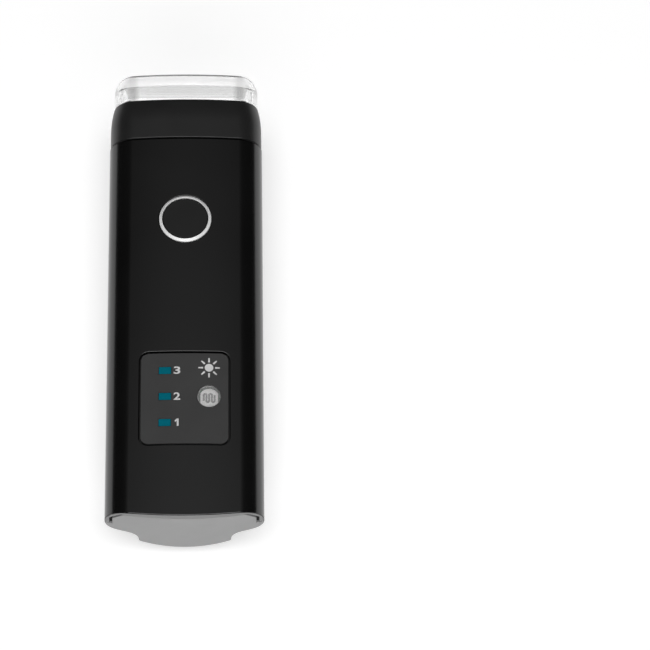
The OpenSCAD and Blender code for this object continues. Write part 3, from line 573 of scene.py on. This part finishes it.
def shown(node, slot, width, angle):
    """A finished copy of a node: its edges are rounded by width, or its curves smoothed."""
    mesh = joined(node)
    mesh.materials.append(FINISHES[slot])
    piece = bpy.data.objects.new(mesh.name, mesh)
    bpy.context.collection.objects.link(piece)
    if node == "top_cover":
        rim = rounded(piece, "rear_edge", REAR_RIM_MM, 4)
        rim.limit_method = "VGROUP"
        rim.vertex_group = rear_edge(piece)
    if width:
        edge = rounded(piece, "edges", width, 3)
        edge.limit_method = "ANGLE"
        edge.angle_limit = math.radians(angle)
    else:
        smoothed(piece, angle)
    if node == "top_cover":
        true_normals(piece)
    piece.visible_shadow = node != "lens"
    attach(piece, BODY_OF.get(node, "body"))
    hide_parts(node)
    return piece


for name, look in SHOWN.items():
    shown(name, *look)
for slot, names in INSIDE.items():
    for name in names:
        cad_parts[name].data.materials.clear()
        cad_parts[name].data.materials.append(FINISHES[slot])


def layer(name, points, faces, finish, thickness):
    """A thin layer on the body: a sheet of those points and faces, thickened upwards."""
    mesh = bpy.data.meshes.new(name)
    mesh.from_pydata(points.tolist(), [], faces)
    mesh.materials.append(finish)
    piece = bpy.data.objects.new(name, mesh)
    bpy.context.collection.objects.link(piece)
    wall = piece.modifiers.new("layer", "SOLIDIFY")
    wall.thickness = thickness
    wall.offset = 1.0
    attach(piece, "body")
    return piece


def printed(name, points, faces):
    """A film of ink: its points, given in plan, follow the arc of the panel's crown."""
    height = PANEL_TOP - CROWN_R + np.sqrt(CROWN_R ** 2 - points[:, 0] ** 2) + INK_LIFT
    return layer(name, np.column_stack([points, height]), faces, INK, INK_T)


def numeral(digit, x, y):
    """A plain bold numeral: its outline, scaled to the numerals' size and centred on x and y."""
    name = f"numeral_{digit}"
    curve = bpy.data.curves.new(name, "FONT")
    curve.body = digit
    curve.size = 1.0
    curve.offset = NUMERAL_BOLD
    text = bpy.data.objects.new(name, curve)
    bpy.context.collection.objects.link(text)
    bpy.context.view_layer.update()
    flat = bpy.data.meshes.new_from_object(text)
    points = read(flat.vertices, "co", 3)[:, :2]
    faces = [list(face.vertices) for face in flat.polygons]
    bpy.data.objects.remove(text)
    low, high = points.min(0), points.max(0)
    points = (points - (low + high) / 2) * NUMERAL_SIZE / (high - low) + (x, y)
    return printed(name, points, faces)


def figure_one(x, y):
    """A plain bold 1, centred on x and y: an upright bar with a flag."""
    outline = np.array([(0.5, 0), (1, 0), (1, 1), (0.55, 1), (0, 0.78), (0, 0.52), (0.5, 0.7)])
    points = (outline - 0.5) * ONE_SIZE + (x, y)
    return printed("figure_one", points, [list(range(len(outline)))])


def sun_sign(x, y, size):
    """A plain sign for light: a disc, and eight bars that taper outwards round it."""
    turn = np.linspace(0, 2 * np.pi, SUN_POINTS, endpoint=False)
    disc = 0.2 * size * np.column_stack([np.cos(turn), np.sin(turn)])
    rays = np.arange(SUN_RAYS) * 2 * np.pi / SUN_RAYS
    out = np.column_stack([np.cos(rays), np.sin(rays)])
    side = np.column_stack([-np.sin(rays), np.cos(rays)])
    reach = size * np.array([0.28, 0.5, 0.5, 0.28])
    half = size * np.array([-0.045, -0.03, 0.03, 0.045])
    bars = out[:, None] * reach[None, :, None] + side[:, None] * half[None, :, None]
    points = np.concatenate([disc, bars.reshape(-1, 2)]) + (x, y)
    corners = SUN_POINTS + np.arange(4 * SUN_RAYS).reshape(-1, 4)
    return printed("sun_sign", points, [list(range(SUN_POINTS))] + corners.tolist())


def sensor_track(width, runs, length):
    """The photoresistor's meander: a ribbon of that width along straight runs joined by half turns."""
    low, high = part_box("light_sensor")
    pitch = 0.62 * (high.x - low.x) / (runs - 1)
    along = np.linspace(0, np.pi, 9)
    column = np.arange(runs) - (runs - 1) / 2
    up = np.where(np.arange(runs) % 2 == 0, 1.0, -1.0)
    bend_x = column[:, None] * pitch + pitch / 2 * (1 - np.cos(along))[None]
    bend_y = up[:, None] * (length / 2 + pitch / 2 * np.sin(along))[None]
    start = np.array([[column[0] * pitch, -length / 2]])
    bends = np.stack([bend_x, bend_y], 2)[:-1].reshape(-1, 2)
    end = np.array([[column[-1] * pitch, up[-1] * length / 2]])
    path = np.concatenate([start, bends, end])
    ahead = np.gradient(path, axis=0)
    ahead /= np.linalg.norm(ahead, axis=1)[:, None]
    normal = np.column_stack([-ahead[:, 1], ahead[:, 0]]) * width / 2
    middle = np.array([(low.x + high.x) / 2, (low.y + high.y) / 2])
    ribbon = np.concatenate([path + normal, path - normal]) + middle
    count = len(path)
    step = np.arange(count - 1)
    faces = np.column_stack([step + count, step + count + 1, step + 1, step]).tolist()
    points = np.column_stack([ribbon, np.full(2 * count, high.z)])
    return layer("sensor_track", points, faces, TRACK, TRACK_T)


window_low, window_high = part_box("light_guides")
window_mid = (window_low + window_high) / 2
sensor_low, sensor_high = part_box("light_sensor")
print_x = window_mid.x + PRINT_RIGHT
numeral("3", print_x, window_mid.y + WINDOW_PITCH)
numeral("2", print_x, window_mid.y)
figure_one(print_x, window_mid.y - WINDOW_PITCH)
sun_sign((sensor_low.x + sensor_high.x) / 2, window_mid.y + SUN_AHEAD, SUN_SIZE)
sensor_track(TRACK_W, TRACK_RUNS, TRACK_L)


def camera():
    """The photograph's viewpoint: behind and above the lamp, turned a little past it."""
    data = bpy.data.cameras.new("camera")
    data.lens = FOCAL_PIXELS * data.sensor_width / PHOTO_W
    data.clip_start = 0.01
    eye = bpy.data.objects.new("camera", data)
    bpy.context.collection.objects.link(eye)
    tilt = Matrix.Rotation(math.radians(90 - LOOK_DOWN), 4, "X")
    turn = Matrix.Rotation(math.radians(LOOK_TURN), 4, "Y")
    roll = Matrix.Rotation(math.radians(LOOK_ROLL), 4, "Z")
    eye.matrix_world = Matrix.Translation(Vector(EYE) * MM) @ tilt @ turn @ roll
    bpy.context.scene.camera = eye


def floor():
    """White floor that keeps a soft shadow: part of its white is its own, and from below it is clear."""
    corners = np.array([(-1, -1), (1, -1), (1, 1), (-1, 1)]) * FLOOR_HALF
    mesh = bpy.data.meshes.new("floor")
    mesh.from_pydata(np.column_stack([corners, np.full(4, FLOOR_Z)]).tolist(), [], [(0, 1, 2, 3)])
    plane = bpy.data.objects.new("floor", mesh)
    bpy.context.collection.objects.link(plane)
    f = Finish("floor_white")
    seen = f.rays("Is Camera Ray", "Is Glossy Ray", "Is Transmission Ray")
    through = f.rays("Is Transmission Ray")
    strength = seen * FLOOR_GLOW + through * FLOOR_GLOW_THROUGH
    paper = f.node("ShaderNodeBsdfDiffuse", None, {"Color": tone(205)})
    glow = f.node("ShaderNodeEmission", None, {"Color": WHITE, "Strength": strength})
    both = f.node("ShaderNodeAddShader", None, [paper, glow])
    below = f.node("ShaderNodeNewGeometry", out="Backfacing")
    clear = f.node("ShaderNodeBsdfTransparent")
    one_sided = f.node("ShaderNodeMixShader", None, [below, both, clear])
    f.node("ShaderNodeOutputMaterial", None, {"Surface": one_sided})
    mesh.materials.append(f.material)


def studio():
    """Soft light from above over dim walls: the world brightens from the horizon to the zenith."""
    world = bpy.data.worlds.new("studio")
    world.use_nodes = True
    bpy.context.scene.world = world
    f = Finish("studio", world.node_tree)
    up = f.split(f.node("ShaderNodeTexCoord", out="Generated"))[2]
    seen = f.rays("Is Camera Ray", "Is Transmission Ray")
    dim = WALL_STRENGTH + ZENITH_STRENGTH * f.ramp(up, 0.83, 1.0)
    sky = f.node("ShaderNodeBackground", None, {"Color": WHITE, "Strength": dim})
    white = f.node("ShaderNodeBackground", None, {"Color": WHITE, "Strength": 1.0})
    both = f.node("ShaderNodeMixShader", None, [seen, sky, white])
    f.node("ShaderNodeOutputWorld", None, {"Surface": both})


def softbox(name, place, aim, width, depth, power, mirrored):
    """An oblong lamp at place that faces aim, seen in gloss or not."""
    data = bpy.data.lights.new(name, "AREA")
    data.shape = "RECTANGLE"
    data.size = width
    data.size_y = depth
    data.energy = power
    lamp = bpy.data.objects.new(name, data)
    lamp.visible_glossy = mirrored
    bpy.context.collection.objects.link(lamp)
    facing = (Vector(aim) - Vector(place)).to_track_quat("-Z", "Y")
    lamp.matrix_world = Matrix.Translation(place) @ facing.to_matrix().to_4x4()


camera()
floor()
studio()
softbox("overhead", (0, -0.35, 1.3), (0, 0, 0), 1.1, 0.8, 11.5, True)
softbox("rear", (0, -1.3, 0.55), (0, 0, 0), 1.4, 0.7, 9.5, False)

bpy.context.scene.view_settings.view_transform = "Standard"
